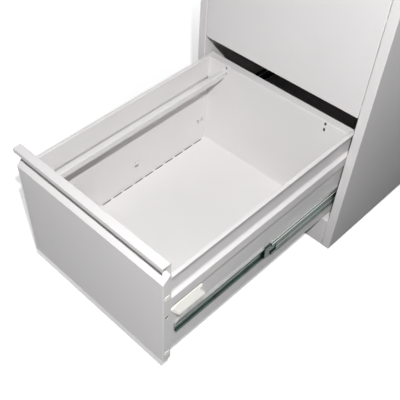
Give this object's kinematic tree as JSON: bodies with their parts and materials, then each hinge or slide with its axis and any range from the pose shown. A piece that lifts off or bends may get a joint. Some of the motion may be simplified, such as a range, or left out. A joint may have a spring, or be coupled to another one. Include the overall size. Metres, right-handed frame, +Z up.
{
  "type": "filing cabinet",
  "caption": "Sheet-steel filing cabinet whose file drawers have full-width folded finger pulls and run right out on telescopic ball-bearing slides.",
  "frame": {"origin": "centre of the footprint of the whole object, lower drawer open, on the floor", "axes": "+X to the right as seen from the front, +Y from the drawer fronts to the back, +Z up"},
  "size_m": [0.46, 1.166, 0.711],
  "materials": {
    "grey_powder_coat": "light grey powder coat, semi-matt",
    "zinc_plated_steel": "bright zinc plate",
    "white_plastic": "moulded, satin"
  },
  "bodies": {
    "cabinet": {"back_panel": "grey_powder_coat", "base_pan": "grey_powder_coat", "front_upright_left": "grey_powder_coat", "front_upright_right": "grey_powder_coat", "plinth_front": "grey_powder_coat", "rear_upright_left": "grey_powder_coat", "rear_upright_right": "grey_powder_coat", "side_panel_left": "grey_powder_coat", "side_panel_right": "grey_powder_coat", "top_lid": "grey_powder_coat", "lower_slide_outer_left": "zinc_plated_steel", "lower_slide_outer_right": "zinc_plated_steel", "upper_slide_outer_left": "zinc_plated_steel", "upper_slide_outer_right": "zinc_plated_steel"},
    "lower_drawer": {"lower_drawer_back": "grey_powder_coat", "lower_drawer_floor": "grey_powder_coat", "lower_drawer_side_left": "grey_powder_coat", "lower_drawer_side_right": "grey_powder_coat", "lower_front_liner": "grey_powder_coat", "lower_front_panel": "grey_powder_coat", "lower_front_plugs": "white_plastic", "lower_guide_block_left": "white_plastic", "lower_guide_block_right": "white_plastic", "lower_hang_rail": "grey_powder_coat", "lower_slide_inner_left": "zinc_plated_steel", "lower_slide_inner_right": "zinc_plated_steel"},
    "lower_middles": {"lower_slide_middle_left": "zinc_plated_steel", "lower_slide_middle_right": "zinc_plated_steel"},
    "lower_outer_cages": {"lower_outer_cage_left": "zinc_plated_steel", "lower_outer_cage_right": "zinc_plated_steel"},
    "lower_inner_cages": {"lower_inner_cage_left": "zinc_plated_steel", "lower_inner_cage_right": "zinc_plated_steel"},
    "upper_drawer": {"upper_drawer_back": "grey_powder_coat", "upper_drawer_floor": "grey_powder_coat", "upper_drawer_side_left": "grey_powder_coat", "upper_drawer_side_right": "grey_powder_coat", "upper_front_liner": "grey_powder_coat", "upper_front_panel": "grey_powder_coat", "upper_front_plugs": "white_plastic", "upper_guide_block_left": "white_plastic", "upper_guide_block_right": "white_plastic", "upper_hang_rail": "grey_powder_coat", "upper_slide_inner_left": "zinc_plated_steel", "upper_slide_inner_right": "zinc_plated_steel"},
    "upper_middles": {"upper_slide_middle_left": "zinc_plated_steel", "upper_slide_middle_right": "zinc_plated_steel"},
    "upper_outer_cages": {"upper_outer_cage_left": "zinc_plated_steel", "upper_outer_cage_right": "zinc_plated_steel"},
    "upper_inner_cages": {"upper_inner_cage_left": "zinc_plated_steel", "upper_inner_cage_right": "zinc_plated_steel"}
  },
  "joints": [
    {"name": "lower_drawer_slide", "type": "slide", "parent": "cabinet", "child": "lower_drawer", "axis": [0, -1, 0], "range_m": [-0.544, 0]},
    {"name": "lower_middles_slide", "type": "slide", "parent": "cabinet", "child": "lower_middles", "axis": [0, -1, 0], "range_m": [-0.272, 0]},
    {"name": "lower_outer_cages_slide", "type": "slide", "parent": "cabinet", "child": "lower_outer_cages", "axis": [0, -1, 0], "range_m": [-0.136, 0]},
    {"name": "lower_inner_cages_slide", "type": "slide", "parent": "cabinet", "child": "lower_inner_cages", "axis": [0, -1, 0], "range_m": [-0.408, 0]},
    {"name": "upper_drawer_slide", "type": "slide", "parent": "cabinet", "child": "upper_drawer", "axis": [0, -1, 0], "range_m": [0, 0.544]},
    {"name": "upper_middles_slide", "type": "slide", "parent": "cabinet", "child": "upper_middles", "axis": [0, -1, 0], "range_m": [0, 0.272]},
    {"name": "upper_outer_cages_slide", "type": "slide", "parent": "cabinet", "child": "upper_outer_cages", "axis": [0, -1, 0], "range_m": [0, 0.136]},
    {"name": "upper_inner_cages_slide", "type": "slide", "parent": "cabinet", "child": "upper_inner_cages", "axis": [0, -1, 0], "range_m": [0, 0.408]}
  ],
  "couplings": [
    {"joint": "lower_middles_slide", "follows": "lower_drawer_slide", "ratio": 0.5},
    {"joint": "lower_outer_cages_slide", "follows": "lower_drawer_slide", "ratio": 0.25},
    {"joint": "lower_inner_cages_slide", "follows": "lower_drawer_slide", "ratio": 0.75},
    {"joint": "upper_middles_slide", "follows": "upper_drawer_slide", "ratio": 0.5},
    {"joint": "upper_outer_cages_slide", "follows": "upper_drawer_slide", "ratio": 0.25},
    {"joint": "upper_inner_cages_slide", "follows": "upper_drawer_slide", "ratio": 0.75}
  ]
}
